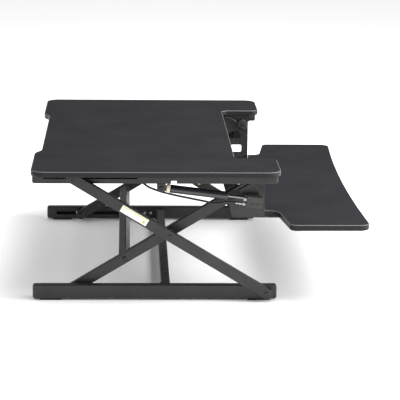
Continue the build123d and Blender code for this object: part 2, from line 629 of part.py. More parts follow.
# ---- keyboard tray and its brackets ----
TRAY_HALF_WIDTH = 453.0
TRAY_REAR_Y = -305.0           # rear corners at the tray's ends
TRAY_SHOULDER_Y = -286.0       # where the slanted rear edge meets the neck
TRAY_FRONT_Y = -486.0
TRAY_FRONT_BOW = 14.0
NECK_HALF_WIDTH = 314.0
NECK_REAR_Y = -256.5
TRAY_FRONT_RADIUS = 24.0
TRAY_REAR_RADIUS = 16.0
NECK_FILLET = 24.0
TRAY_BOTTOM = TRAY_TOP - TRAY_THICKNESS
BRACKET_X = (311.0, 314.0)
BRACKET_FRONT_Y = -256.0
BRACKET_TOP_REAR_Y = -158.0
BRACKET_LOW_REAR_Y = -181.0
BRACKET_THICKNESS = BRACKET_X[1] - BRACKET_X[0]
FLANGE_WIDTH = 24.0
TRAY_FLANGE_WIDTH = 34.0
TRAY_FLANGE_FRONT_Y = -345.0
WINDOW_FRONT_Y = -239.5
BRACKET_KNEE_Z = 259.0          # where the rear edge turns from upright to slanted
BRACKET_SCREW_PLACES_Y = (-228.0, -176.0)
TRAY_SCREW_PLACES_Y = (-330.0, -300.0, -271.0)
WINDOWS = (((201.0, 220.5), -212.0), ((237.0, 256.0), -205.0))


def tray_outline():
    """Wide tray: concave front edge, slanted rear edges and a narrower neck between them."""
    wide, neck = TRAY_HALF_WIDTH, NECK_HALF_WIDTH
    middle_front_y = TRAY_FRONT_Y + TRAY_FRONT_BOW
    outline = make_face(Wire([
        Line((-neck, NECK_REAR_Y), (neck, NECK_REAR_Y)),
        Line((neck, NECK_REAR_Y), (neck, TRAY_SHOULDER_Y)),
        Line((neck, TRAY_SHOULDER_Y), (wide, TRAY_REAR_Y)),
        Line((wide, TRAY_REAR_Y), (wide, TRAY_FRONT_Y)),
        ThreePointArc((wide, TRAY_FRONT_Y), (0, middle_front_y), (-wide, TRAY_FRONT_Y)),
        Line((-wide, TRAY_FRONT_Y), (-wide, TRAY_REAR_Y)),
        Line((-wide, TRAY_REAR_Y), (-neck, TRAY_SHOULDER_Y)),
        Line((-neck, TRAY_SHOULDER_Y), (-neck, NECK_REAR_Y)),
    ]))
    for half_width, y, radius in ((wide, TRAY_FRONT_Y, TRAY_FRONT_RADIUS),
                                  (wide, TRAY_REAR_Y, TRAY_REAR_RADIUS),
                                  (neck, TRAY_SHOULDER_Y, NECK_FILLET)):
        places = [(side * half_width, y, 0) for side in (-1, 1)]
        outline = fillet(corners_near(outline, places), radius)
    return outline


def frontmost_y():
    """The tray's two front corners, where the whole converter is longest."""
    return tray_outline().bounding_box().min.Y


def keyboard_tray():
    tray = soften(extrude(Pos(0, 0, TRAY_BOTTOM) * tray_outline(), TRAY_THICKNESS), EDGE_ROUND)
    for screw in tray_screws():
        tray -= screw
        tray -= mirrored(screw)
    return tray


def bracket_outline():
    """Side view of a tray bracket: upright front edge, slanted rear edge, two windows."""
    z_low = TRAY_BOTTOM - BRACKET_THICKNESS
    face = make_face(Polyline((BRACKET_FRONT_Y, z_low), (BRACKET_FRONT_Y, PANEL_BOTTOM),
                              (BRACKET_TOP_REAR_Y, PANEL_BOTTOM), (BRACKET_TOP_REAR_Y, BRACKET_KNEE_Z),
                              (BRACKET_LOW_REAR_Y, z_low), close=True))
    for z, rear_y in WINDOWS:
        window = Pos((WINDOW_FRONT_Y + rear_y) / 2, (z[0] + z[1]) / 2)
        face -= window * RectangleRounded(rear_y - WINDOW_FRONT_Y, z[1] - z[0], 4)
    return face


def tray_bracket():
    """Pressed steel bracket: an upright plate, a flange under the panel and one under the tray."""
    z_low = TRAY_BOTTOM - BRACKET_THICKNESS
    bracket = plate_x(BRACKET_X, bracket_outline())
    bracket += block((BRACKET_X[0], BRACKET_X[1] + FLANGE_WIDTH), (BRACKET_FRONT_Y, BRACKET_TOP_REAR_Y),
                     (PANEL_BOTTOM - BRACKET_THICKNESS, PANEL_BOTTOM))
    foot = block((BRACKET_X[0] - TRAY_FLANGE_WIDTH, BRACKET_X[1]), (TRAY_FLANGE_FRONT_Y, BRACKET_LOW_REAR_Y),
                 (z_low, TRAY_BOTTOM))
    foot = fillet(foot.edges().filter_by(Axis.Z).sort_by(Axis.Y)[:2], 6)
    bracket += foot
    for screw in tray_screws() + bracket_screws():
        bracket -= screw
    return bracket - bar_x((BRACKET_X[0] - 1, BRACKET_X[1] + 1), LEVER_PIVOT_Y, LEVER_PIVOT_Z, PIN_RADIUS)


def bracket_screws():
    """Screws through a bracket's upper flange into the panel."""
    x = BRACKET_X[1] + FLANGE_WIDTH * 0.55
    seat_z = PANEL_BOTTOM - BRACKET_THICKNESS
    return [screw_up(x, y, seat_z, PANEL_BOTTOM + SCREW_BITE) for y in BRACKET_SCREW_PLACES_Y]


def tray_screws():
    """Screws through a bracket's lower flange into the tray."""
    x = BRACKET_X[0] - TRAY_FLANGE_WIDTH * 0.5
    seat_z = TRAY_BOTTOM - BRACKET_THICKNESS
    return [screw_up(x, y, seat_z, TRAY_BOTTOM + SCREW_BITE) for y in TRAY_SCREW_PLACES_Y]


# ---- release levers ----
LEVER_PIVOT_Y = -240.5
LEVER_PIVOT_Z = 279.0
LEVER_HUB_RADIUS = 11.5
LEVER_X = (297.0, BRACKET_X[0] - SIDE_GAP)
LEVER_TIP_Y = -249.0
LEVER_TIP_Z = 268.0
LEVER_TIP_RADIUS = 5.5


def release_lever():
    """Finger paddle: a round hub on the bracket with a short finger that points forward and down."""
    hub = Pos(LEVER_PIVOT_Y, LEVER_PIVOT_Z) * Circle(LEVER_HUB_RADIUS)
    tip = Pos(LEVER_TIP_Y, LEVER_TIP_Z) * Circle(LEVER_TIP_RADIUS)
    paddle = plate_x(LEVER_X, make_hull((hub + tip).edges()))
    paddle = soften(paddle, 2, Axis.X)
    return paddle - bar_x((LEVER_X[0] - 1, LEVER_X[1] + 1), LEVER_PIVOT_Y, LEVER_PIVOT_Z, BORE_RUNNING)


def lever_pin():
    """Pin fixed in the bracket that the paddle turns on."""
    place = (LEVER_PIVOT_Y, LEVER_PIVOT_Z)
    seat_x = LEVER_X[0] - SIDE_GAP
    pin = bar_x((seat_x, BRACKET_X[1]), *place, PIN_RADIUS)
    pin += button_head_x(seat_x, *place, -1, radius=6.0, height=2.5)
    return pin + bar_x((BRACKET_X[1], BRACKET_X[1] + 3), *place, PIN_RADIUS + 2)


# ---- release cables ----
CABLE_RADIUS = 2.5
CABLE_BEND = 8.0
CABLE_X = RAIL_INNER_X - 5.0
CABLE_TOP_Z = PANEL_BOTTOM - 7.0


def swept_cable(points):
    """Cable sheath along straight runs joined by round bends."""
    path = Wire(FilletPolyline(*points, radius=CABLE_BEND).edges())
    return sweep(Plane(origin=path @ 0, z_dir=path % 0) * Circle(CABLE_RADIUS), path)


def release_cable():
    """Cable sheath fixed under the panel, from the paddle back to the spring's rear end."""
    lever_x = (LEVER_X[0] + LEVER_X[1]) / 2
    hub_rear_y = LEVER_PIVOT_Y + LEVER_HUB_RADIUS + 4
    return swept_cable([
        (lever_x, hub_rear_y, LEVER_PIVOT_Z + 6),
        (lever_x, hub_rear_y + 25, CABLE_TOP_Z),
        (lever_x, BRACKET_TOP_REAR_Y + 10, CABLE_TOP_Z),
        (CABLE_X, BRACKET_TOP_REAR_Y + 80, CABLE_TOP_Z),
        (CABLE_X, SPRING_MOUNT_Y + 25, CABLE_TOP_Z),
        (CABLE_X, SPRING_MOUNT_Y + 45, SPRING_MOUNT_Z + 12),
        (CABLE_X, SPRING_MOUNT_Y + 20, SPRING_MOUNT_Z - 5),
        (CABLE_X, SPRING_MOUNT_Y - 3, SPRING_MOUNT_Z - 11),
    ])


def cable_lead():
    """Cable sheath that hangs below the cylinder towards the release head."""
    return swept_cable([
        (CABLE_X, SPRING_MOUNT_Y - 6, SPRING_MOUNT_Z - 12),
        (CABLE_X + 5, SPRING_MOUNT_Y - 50, SPRING_MOUNT_Z - 22.5),
        (CABLE_X + 9, SPRING_MOUNT_Y - 117, SPRING_MOUNT_Z - 32),
        (CABLE_X + 9, SPRING_MOUNT_Y - 150, SPRING_MOUNT_Z - 36),
    ])


# ---- blank label on the left outer arm ----
LABEL_CENTRE = ARM_CENTRE + 96.0
LABEL_LENGTH = 69.0
LABEL_WIDTH = 17.5
LABEL_THICKNESS = 0.3


def arm_label():
    """Plain sticker on the outer face of the left outer arm, drawn along the arm."""
    outline = Pos(LABEL_CENTRE, 0) * RectangleRounded(LABEL_LENGTH, LABEL_WIDTH, 1.5)
    return plate_x((OUTER_ARM_X[1], OUTER_ARM_X[1] + LABEL_THICKNESS), outline)


# ---- write the nodes ----
def save_base():
    save_pair("base_rail", base_rail())
    save_both("base_end_caps", *rail_caps(BASE_TUBE_Y, BASE_RAIL_Z))
    save_both("foot_pads", *foot_pads())
    save("base_cross_tube", base_cross_tube())
    save_both("base_joint_plates", joint_plate())
    save_both("base_joint_screws", *joint_screws())
    bolt, washer, nut = lower_pivot()
    save_both("lower_pivot_bolts", bolt)
    save_both("lower_pivot_washers", washer)
    save_both("lower_pivot_nuts", nut)


def save_outer_arms():
    save_pair("outer_arm", on_outer_arm(arm_tube(OUTER_ARM_X, (BORE_RUNNING, PIN_RADIUS, PIN_RADIUS))))
    plugs = [arm_plug(OUTER_ARM_X, False, BORE_RUNNING), arm_plug(OUTER_ARM_X, True, PIN_RADIUS)]
    save_both("outer_arm_plugs", *[on_outer_arm(plug) for plug in plugs])
    bolt, spacer, nut = centre_pivot()
    save_both("outer_arm_bushes", on_outer_arm(centre_bush(OUTER_ARM_X, PIN_RADIUS)))
    save_both("centre_pivot_bolts", on_outer_arm(bolt))
    save_both("centre_pivot_spacers", on_outer_arm(spacer))
    save_both("centre_pivot_nuts", on_outer_arm(nut))
    save_both("top_slider_axles", on_outer_arm(top_slider_axle()))
    save("arm_label", mirrored(on_outer_arm(arm_label())))
    save_both("top_slide_blocks", slide_block(TOP_PIVOT_Z, TOP_RAIL_HEIGHT - 2 * TOP_PIVOT_RISE))


def save_inner_arms():
    tube = arm_tube(INNER_ARM_X, (BORE_RUNNING, BORE_RUNNING, PIN_RADIUS)) - crossbar_bolt()
    save_pair("inner_arm", on_inner_arm(tube))
    plugs = [arm_plug(INNER_ARM_X, False, BORE_RUNNING), arm_plug(INNER_ARM_X, True, PIN_RADIUS)]
    save_both("inner_arm_plugs", *[on_inner_arm(plug) for plug in plugs])
    save_both("inner_arm_bushes", on_inner_arm(centre_bush(INNER_ARM_X, BORE_RUNNING)))
    save("inner_crossbar", on_inner_arm(inner_crossbar()))
    save_both("crossbar_bolts", on_inner_arm(crossbar_bolt()))
    save_both("spring_lugs", on_inner_arm(spring_lug()))
    save_both("base_slider_axles", on_inner_arm(base_slider_axle()))
    save_both("base_slide_blocks", slide_block(BASE_PIVOT_Z, BASE_RAIL_HEIGHT))


def save_platform():
    save("desktop", desktop())
    save_pair("top_rail", top_rail())
    save_both("top_end_caps", *rail_caps(TOP_TUBE_Y, TOP_RAIL_Z))
    save_both("desktop_screws", *desktop_screws())
    bolt, spacer, nut = upper_pivot()
    save_both("upper_pivot_bolts", bolt)
    save_both("upper_pivot_spacers", spacer)
    save_both("upper_pivot_nuts", nut)
    save_both("spring_mounts", spring_mount())
    save_both("spring_mount_pins", spring_mount_pin())
    save("keyboard_tray", keyboard_tray())
    save_pair("tray_bracket", tray_bracket())
    save_both("bracket_screws", *bracket_screws())
    save_both("tray_screws", *tray_screws())
    save_both("lever_pins", lever_pin())
    save_pair("release_lever", release_lever())
    save_pair("release_cable", release_cable())


def save_gas_springs():
    save_pair("spring_cylinder", spring_cylinder())
    save_both("spring_collars", spring_collar())
    save_both("cable_leads", cable_lead())
    save_pair("spring_rod", spring_rod())
    save_both("spring_pistons", spring_piston())
    save_both("rod_lock_nuts", rod_lock_nut())
    save_both("release_heads", release_head())
    save_both("spring_end_pins", spring_end_pin())


os.makedirs("parts", exist_ok=True)
save_base()
save_outer_arms()
save_inner_arms()
save_platform()
save_gas_springs()
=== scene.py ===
import json
import math

import bpy
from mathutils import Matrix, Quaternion, Vector


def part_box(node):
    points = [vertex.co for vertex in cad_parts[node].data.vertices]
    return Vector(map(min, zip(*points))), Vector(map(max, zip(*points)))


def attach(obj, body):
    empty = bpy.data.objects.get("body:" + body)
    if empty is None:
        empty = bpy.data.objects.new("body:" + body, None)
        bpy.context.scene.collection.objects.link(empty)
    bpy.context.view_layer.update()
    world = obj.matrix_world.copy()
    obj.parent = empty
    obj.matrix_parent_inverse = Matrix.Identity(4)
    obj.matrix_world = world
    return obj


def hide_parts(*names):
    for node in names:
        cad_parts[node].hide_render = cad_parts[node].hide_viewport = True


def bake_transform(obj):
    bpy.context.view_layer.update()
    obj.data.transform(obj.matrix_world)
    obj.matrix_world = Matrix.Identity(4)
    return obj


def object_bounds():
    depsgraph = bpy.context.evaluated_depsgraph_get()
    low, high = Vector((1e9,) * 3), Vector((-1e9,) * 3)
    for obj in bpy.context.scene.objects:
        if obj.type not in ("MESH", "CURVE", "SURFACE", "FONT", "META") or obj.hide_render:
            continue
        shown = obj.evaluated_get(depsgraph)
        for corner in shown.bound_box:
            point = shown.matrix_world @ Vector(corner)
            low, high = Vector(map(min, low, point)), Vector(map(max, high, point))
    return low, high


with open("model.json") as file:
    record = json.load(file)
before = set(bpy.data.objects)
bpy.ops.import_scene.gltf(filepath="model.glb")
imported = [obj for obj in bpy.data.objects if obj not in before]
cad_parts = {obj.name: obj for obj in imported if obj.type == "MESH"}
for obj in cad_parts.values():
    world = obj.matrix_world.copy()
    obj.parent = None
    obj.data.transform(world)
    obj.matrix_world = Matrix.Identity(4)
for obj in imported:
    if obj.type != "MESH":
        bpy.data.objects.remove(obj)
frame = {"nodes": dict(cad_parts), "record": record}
CAD_LOW, CAD_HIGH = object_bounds()
NODES = frame["nodes"]
MM = 0.001

# Camera: a long lens on the desk's left side, a little above it.
CAMERA_AZIMUTH = 267.627
CAMERA_ELEVATION = 13.306
CAMERA_ROLL = 0.69
CAMERA_DISTANCE = 4.475
CAMERA_LENS = 161.9             # mm, for a picture area 36 mm wide
PICTURE_WIDTH = 36.0
CAMERA_REACH = 60.0
AIM_FROM_CENTRE = Vector((0.0, -0.0153, -0.0138))

# Studio: two softboxes placed from the middle of the desk, a pale floor and a bright sky.
OVERHEAD_PLACE = Vector((-0.3, -1.1, 2.3))
OVERHEAD_SIZE = (2.4, 2.4)
OVERHEAD_POWER = 105
FRONT_PLACE = Vector((-0.8, -3.0, 0.9))
FRONT_SIZE = (2.4, 1.3)
FRONT_POWER = 95
FRONT_AIM = 0.7                 # where it points: this part of the way to the tray's front edge
SKY_LIGHT = 0.94
SKY_REFLECTION = 0.26
FLOOR_REACH = 40.0
FLOOR_GAP = 0.2 * MM            # keeps the floor clear of the feet's undersides
FLOOR_COLOUR = (0.93, 0.93, 0.93, 1)

# Places the new pieces are built from, all read from the frame.
JOINTS = {joint["name"]: joint for joint in frame["record"]["behaviour"]["joints"]}
SIDES = {"left": -1, "right": 1}
LIFT_PIVOT = Vector(JOINTS["lift"]["pos_m"])
ARM_CROSSING = Vector(JOINTS["scissor"]["pos_m"])
DESK_PIVOT = Vector(JOINTS["desk_level"]["pos_m"])
SPRING_EYE = Vector(JOINTS["spring_tilt"]["pos_m"])
SPRING_LINE = Vector(JOINTS["spring_stroke"]["axis"]).normalized()
SPRING_UP = Vector((1, 0, 0)).cross(SPRING_LINE) * -1
OUTER_ARM_LINE = (ARM_CROSSING - LIFT_PIVOT).normalized()
INNER_ARM_LINE = (ARM_CROSSING - DESK_PIVOT).normalized()
PANEL_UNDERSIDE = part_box("desktop")[0].z


# ---------------------------------------------------------------- materials
# Numbers of a colour mix node's sockets, whose names it shares with its number sockets.
MIX_FIRST_COLOUR = 6
MIX_SECOND_COLOUR = 7
MIX_COLOUR = 2


class Finish:
    """One procedural material, built from a few kinds of node."""

    def __init__(self, name, wear_radius=0.0012):
        self.material = bpy.data.materials.new(name)
        self.material.use_nodes = True
        self.tree = self.material.node_tree
        self.surface = self.tree.nodes["Principled BSDF"]
        self.place = self.node("ShaderNodeTexCoord").outputs["Object"]
        self.geometry = self.node("ShaderNodeNewGeometry")
        bevel = self.node("ShaderNodeBevel", {"Radius": wear_radius}, samples=4)
        self.round_normal = bevel.outputs["Normal"]
        self.normal = self.round_normal

    def node(self, kind, inputs=None, **settings):
        """New node with its settings and its inputs filled in."""
        made = self.tree.nodes.new(kind)
        for key, value in settings.items():
            setattr(made, key, value)
        for key, value in (inputs or {}).items():
            self.fill(made.inputs[key], value)
        return made

    def fill(self, socket, value):
        """Join another node's output to a socket, or give it a plain value."""
        if isinstance(value, bpy.types.NodeSocket):
            self.tree.links.new(value, socket)
        elif socket.type == "RGBA" and len(value) == 3:
            socket.default_value = (*value, 1.0)
        else:
            socket.default_value = value

    def noise(self, scale, detail=3.0, roughness=0.55, stretch=(1, 1, 1)):
        """Cloudy noise, drawn out along the axes whose stretch is small."""
        mapping = self.node("ShaderNodeMapping", {"Vector": self.place, "Scale": stretch})
        made = self.node("ShaderNodeTexNoise", {"Vector": mapping.outputs["Vector"], "Scale": scale,
                                                "Detail": detail, "Roughness": roughness})
        return made.outputs["Fac"]

    def cells(self, scale):
        """Distance to the nearest of many scattered points."""
        made = self.node("ShaderNodeTexVoronoi", {"Vector": self.place, "Scale": scale})
        return made.outputs["Distance"]

    def remap(self, value, low, high, to_low=0.0, to_high=1.0):
        """Stretch the values between low and high over a new range, and hold them inside it."""
        made = self.node("ShaderNodeMapRange", {"Value": value, "From Min": low, "From Max": high,
                                                "To Min": to_low, "To Max": to_high})
        return made.outputs["Result"]

    def maths(self, operation, first, second=0.0):
        made = self.node("ShaderNodeMath", operation=operation)
        self.fill(made.inputs[0], first)
        self.fill(made.inputs[1], second)
        return made.outputs["Value"]

    def mix(self, factor, first, second):
        """Colour between two others."""
        made = self.node("ShaderNodeMix", {"Factor": factor}, data_type="RGBA")
        self.fill(made.inputs[MIX_FIRST_COLOUR], first)
        self.fill(made.inputs[MIX_SECOND_COLOUR], second)
        return made.outputs[MIX_COLOUR]

    def mix_numbers(self, factor, first, second):
        """Number between two others."""
        return self.node("ShaderNodeMix", {"Factor": factor, "A": first, "B": second}).outputs["Result"]

    def edges(self, low=0.02, high=0.35):
        """1 along the piece's edges and 0 on its flats, broken up by a coarse noise."""
        dot = self.node("ShaderNodeVectorMath", operation="DOT_PRODUCT")
        self.fill(dot.inputs[0], self.round_normal)
        self.fill(dot.inputs[1], self.geometry.outputs["Normal"])
        edge = self.remap(self.maths("SUBTRACT", 1.0, dot.outputs["Value"]), low, high)
        patches = self.remap(self.noise(60, 4), 0.42, 0.62, 0.15, 1.0)
        return self.maths("MULTIPLY", edge, patches)

    def facing(self, axis, low, high):
        """How much the surface faces along an axis: 0 at low and 1 at high."""
        parts = self.node("ShaderNodeSeparateXYZ", {"Vector": self.geometry.outputs["Normal"]})
        return self.remap(parts.outputs[axis], low, high)

    def bump(self, height, distance, strength=1.0):
        """Raise the surface by a height pattern, on top of the bumps so far."""
        made = self.node("ShaderNodeBump", {"Height": height, "Distance": distance, "Strength": strength,
                                            "Normal": self.normal})
        self.normal = made.outputs["Normal"]

    def finish(self, colour, roughness, **others):
        """Connect everything to the surface; others are named after the surface's inputs."""
        inputs = {"Base Color": colour, "Roughness": roughness, "Normal": self.normal}
        inputs.update({key.replace("_", " "): value for key, value in others.items()})
        for key, value in inputs.items():
            self.fill(self.surface.inputs[key], value)
        return self.material


def board_laminate():
    """Dark textured laminate on the faces, a smoother, glossier band round the edges and a painted
    highlight along the rounded top edges.
    """
    look = Finish("board_laminate")
    cloud = look.noise(9, 4, 0.6)
    speckle = look.noise(1500, 2, 0.6)
    face = look.mix(look.remap(cloud, 0.35, 0.65), (0.0125, 0.0120, 0.0150), (0.0165, 0.0160, 0.0195))
    face = look.mix(look.remap(speckle, 0.55, 0.75, 0.0, 0.35), face, (0.042, 0.041, 0.047))
    up = look.facing("Z", 0.90, 0.995)
    colour = look.mix(up, (0.018, 0.018, 0.019), face)
    # Painted highlight: a pale colour on the upward-facing rounded edges, where the overhead light would
    # glint.
    painted_rim_highlight = look.maths("MULTIPLY", look.facing("Z", 0.25, 0.55), look.facing("Z", 0.97, 0.85))
    colour = look.mix(look.maths("MULTIPLY", painted_rim_highlight, 0.6), colour, (0.22, 0.22, 0.225))
    pores = look.cells(1100)
    look.bump(look.noise(700, 3, 0.6), 0.00022, 0.5)
    look.bump(look.remap(pores, 0.0, 0.5), 0.00012, 0.35)
    rough_face = look.remap(look.noise(35, 4), 0.3, 0.7, 0.54, 0.66)
    roughness = look.mix_numbers(up, 0.26, rough_face)
    return look.finish(colour, roughness, Specular_IOR_Level=0.13)


def powder_coat(name, dark, light, gloss=0.38):
    """Black powder coat: fine orange peel, faint dust and rubbed edges."""
    look = Finish(name)
    cloud = look.remap(look.noise(14, 4, 0.6), 0.35, 0.65)
    colour = look.mix(cloud, dark, light)
    dust = look.remap(look.noise(420, 3, 0.7), 0.62, 0.8, 0.0, 0.25)
    colour = look.mix(dust, colour, (0.16, 0.16, 0.165))
    colour = look.mix(look.maths("MULTIPLY", look.edges(), 0.4), colour, (0.20, 0.20, 0.21))
    look.bump(look.noise(900, 2, 0.5), 0.00018, 0.45)
    look.bump(look.noise(160, 2, 0.5), 0.0003, 0.12)
    roughness = look.remap(look.noise(55, 4), 0.3, 0.7, gloss - 0.06, gloss + 0.08)
    return look.finish(colour, roughness, Specular_IOR_Level=0.5)


def gloss_paint():
    """Deep gloss black of the spring's cylinder, with fine rubbing marks along it."""
    look = Finish("gloss_paint")
    cloud = look.remap(look.noise(25, 4), 0.35, 0.65)
    colour = look.mix(cloud, (0.008, 0.009, 0.012), (0.014, 0.015, 0.019))
    scratches = look.remap(look.noise(1200, 2, 0.6, stretch=(1, 0.03, 1)), 0.62, 0.75)
    colour = look.mix(look.maths("MULTIPLY", scratches, 0.25), colour, (0.09, 0.09, 0.10))
    look.bump(scratches, 0.00004, 0.4)
    look.bump(look.noise(90, 2), 0.0002, 0.08)
    roughness = look.maths("ADD", look.remap(look.noise(70, 3), 0.3, 0.7, 0.14, 0.22),
                           look.maths("MULTIPLY", scratches, 0.15))
    return look.finish(colour, roughness, Coat_Weight=0.5, Coat_Roughness=0.08)


def moulded_plastic(name, dark, light, grain=900.0, roughness=0.5):
    """Moulded plastic with a fine spark-eroded texture and slightly polished edges."""
    look = Finish(name)
    colour = look.mix(look.remap(look.noise(30, 3), 0.35, 0.65), dark, light)
    rubbed = look.maths("MULTIPLY", look.edges(), 0.3)
    colour = look.mix(rubbed, colour, tuple(min(1.0, 2.2 * c + 0.02) for c in light))
    look.bump(look.remap(look.cells(grain), 0.0, 0.6), 0.00012, 0.4)
    look.bump(look.noise(200, 3), 0.0002, 0.15)
    rough = look.remap(look.noise(80, 3), 0.3, 0.7, roughness - 0.07, roughness + 0.08)
    return look.finish(colour, rough, Specular_IOR_Level=0.45)


def soft_rubber():
    """Dusty black rubber."""
    look = Finish("soft_rubber")
    dust = look.remap(look.noise(260, 4, 0.7), 0.5, 0.75, 0.0, 0.5)
    colour = look.mix(dust, (0.012, 0.012, 0.012), (0.055, 0.053, 0.050))
    look.bump(look.noise(500, 3), 0.0003, 0.5)
    return look.finish(colour, look.remap(dust, 0.0, 0.5, 0.68, 0.86), Specular_IOR_Level=0.3)


def bright_zinc():
    """Zinc plated steel with a faint bluish and straw passivation and turning marks."""
    look = Finish("bright_zinc", wear_radius=0.0004)
    tint = look.remap(look.noise(190, 3), 0.35, 0.65)
    colour = look.mix(tint, (0.40, 0.41, 0.43), (0.52, 0.49, 0.41))
    stain = look.remap(look.noise(700, 4), 0.6, 0.8, 0.0, 0.5)
    colour = look.mix(stain, colour, (0.33, 0.32, 0.31))
    look.bump(look.noise(2500, 2, stretch=(1, 0.15, 0.15)), 0.00003, 0.5)
    return look.finish(colour, look.remap(tint, 0.0, 1.0, 0.22, 0.34), Metallic=1.0)


def ground_chrome():
    """Hard chrome rod with fine grinding rings round it."""
    look = Finish("ground_chrome", wear_radius=0.0004)
    rings = look.noise(3500, 2, 0.5, stretch=(0.02, 1, 0.02))
    colour = look.mix(look.remap(rings, 0.4, 0.6), (0.20, 0.205, 0.21), (0.30, 0.30, 0.31))
    oil = look.remap(look.noise(90, 3), 0.45, 0.7, 0.0, 0.3)
    colour = look.mix(oil, colour, (0.16, 0.15, 0.13))
    look.bump(rings, 0.00001, 0.4)
    return look.finish(colour, look.remap(oil, 0.0, 0.3, 0.14, 0.26), Metallic=1.0)


def black_oxide():
    """Oiled black fastener steel, worn to metal on its edges."""
    look = Finish("black_oxide", wear_radius=0.0005)
    cloud = look.remap(look.noise(240, 4), 0.35, 0.65)
    colour = look.mix(cloud, (0.014, 0.014, 0.015), (0.030, 0.029, 0.029))
    worn = look.edges(0.03, 0.25)
    colour = look.mix(look.maths("MULTIPLY", worn, 0.6), colour, (0.32, 0.31, 0.30))
    look.bump(look.noise(1800, 3), 0.00004, 0.5)
    rough = look.remap(look.noise(300, 3), 0.3, 0.7, 0.26, 0.4)
    return look.finish(colour, rough, Metallic=look.remap(worn, 0.0, 1.0, 0.25, 0.9))


def sand_casting():
    """Grey painted casting with a pitted skin, its pits darkened with painted shade."""
    look = Finish("sand_casting")
    cloud = look.remap(look.noise(60, 4), 0.35, 0.65)
    colour = look.mix(cloud, (0.026, 0.026, 0.026), (0.040, 0.040, 0.039))
    pits_and_painted_shade = look.remap(look.cells(520), 0.0, 0.28)
    # Painted shade: the pits are coloured darker, as shade in these small hollows; the same pattern also
    # sinks them as bumps.
    colour = look.mix(pits_and_painted_shade, (0.017, 0.017, 0.017), colour)
    colour = look.mix(look.maths("MULTIPLY", look.edges(), 0.6), colour, (0.22, 0.22, 0.215))
    look.bump(look.noise(650, 4, 0.65), 0.0003, 0.6)
    look.bump(pits_and_painted_shade, 0.0001, 0.4)
    return look.finish(colour, look.remap(cloud, 0, 1, 0.42, 0.55), Specular_IOR_Level=0.5)


def frame_paint():
    """Black powder coat of the rails and arms."""
    return powder_coat("frame_powder_coat", (0.0105, 0.0105, 0.011), (0.0155, 0.0155, 0.016))


def bracket_paint():
    """Black powder coat of the pressed plates, a little paler and duller."""
    return powder_coat("bracket_powder_coat", (0.014, 0.014, 0.0145), (0.020, 0.020, 0.0205), 0.44)


def black_plastic():
    """End caps, plugs and paddles."""
    return moulded_plastic("black_plastic", (0.018, 0.018, 0.019), (0.028, 0.028, 0.029))


def pale_plastic():
    """Cream collars of the gas springs."""
    return moulded_plastic("pale_plastic", (0.72, 0.69, 0.50), (0.80, 0.78, 0.62), 700, 0.42)


def natural_nylon():
    """Slide blocks and pistons."""
    return moulded_plastic("natural_nylon", (0.56, 0.54, 0.47), (0.66, 0.64, 0.57), 500, 0.45)


def cable_sheath():
    """Black sheath of the release cables."""
    return moulded_plastic("cable_sheath", (0.010, 0.010, 0.011), (0.018, 0.018, 0.019), 1500, 0.4)


def label_film():
    """White film of the label."""
    return moulded_plastic("label_film", (0.80, 0.80, 0.76), (0.88, 0.88, 0.84), 900, 0.4)


def label_band():
    """Pale yellow band printed on the label."""
    return moulded_plastic("label_band", (0.62, 0.58, 0.22), (0.70, 0.66, 0.30), 900, 0.4)


def label_key():
    """Darker yellow square printed at the label's end."""
    return moulded_plastic("label_key", (0.55, 0.50, 0.10), (0.62, 0.57, 0.16), 900, 0.4)


# The maker of each material slot's finish.
FINISHES = {
    "board": board_laminate,
    "frame_paint": frame_paint,
    "bracket_paint": bracket_paint,
    "cylinder_paint": gloss_paint,
    "black_plastic": black_plastic,
    "pale_plastic": pale_plastic,
    "nylon": natural_nylon,
    "rubber": soft_rubber,
    "cable_sheath": cable_sheath,
    "black_steel": black_oxide,
    "zinc_steel": bright_zinc,
    "rod_chrome": ground_chrome,
    "cast_grey": sand_casting,
    "label_film": label_film,
    "label_band": label_band,
    "label_key": label_key,
}


def dress_cad_nodes():
    """Give every CAD node the finish of its material slot."""
    materials = {name: make() for name, make in FINISHES.items()}
    for subpart in frame["record"]["subparts"]:
        node = NODES[subpart["node"]]
        node.data.materials.clear()
        node.data.materials.append(materials[subpart["material_slot"]])
    return materials


# ---------------------------------------------------------------- studio
def direction_from(azimuth, elevation):
    """Unit vector from the desk towards a viewer; azimuth 0 is in front of the tray."""
    turn = math.radians(azimuth)
    rise = math.radians(elevation)
    return Vector((math.sin(turn) * math.cos(rise), -math.cos(turn) * math.cos(rise), math.sin(rise)))


def add_camera():
    """The camera looks at a point just below the middle of the CAD box."""
    aim = (CAD_LOW + CAD_HIGH) / 2 + AIM_FROM_CENTRE
    back = direction_from(CAMERA_AZIMUTH, CAMERA_ELEVATION)
    data = bpy.data.cameras.new("camera")
    data.lens = CAMERA_LENS
    data.sensor_width = PICTURE_WIDTH
    data.clip_end = CAMERA_REACH
    camera = bpy.data.objects.new("camera", data)
    camera.location = aim + back * CAMERA_DISTANCE
    camera.rotation_mode = "QUATERNION"
    roll = Quaternion((0, 0, 1), math.radians(CAMERA_ROLL))
    camera.rotation_quaternion = (-back).to_track_quat("-Z", "Y") @ roll
    bpy.context.scene.collection.objects.link(camera)
    bpy.context.scene.camera = camera


def add_softbox(name, place, aim, size, power):
    """Rectangular soft light at a place, turned towards its aim."""
    data = bpy.data.lights.new(name, "AREA")
    data.shape = "RECTANGLE"
    data.size, data.size_y = size
    data.energy = power
    lamp = bpy.data.objects.new(name, data)
    lamp.location = place
    lamp.rotation_mode = "QUATERNION"
    lamp.rotation_quaternion = (aim - place).to_track_quat("-Z", "Y")
    bpy.context.scene.collection.objects.link(lamp)


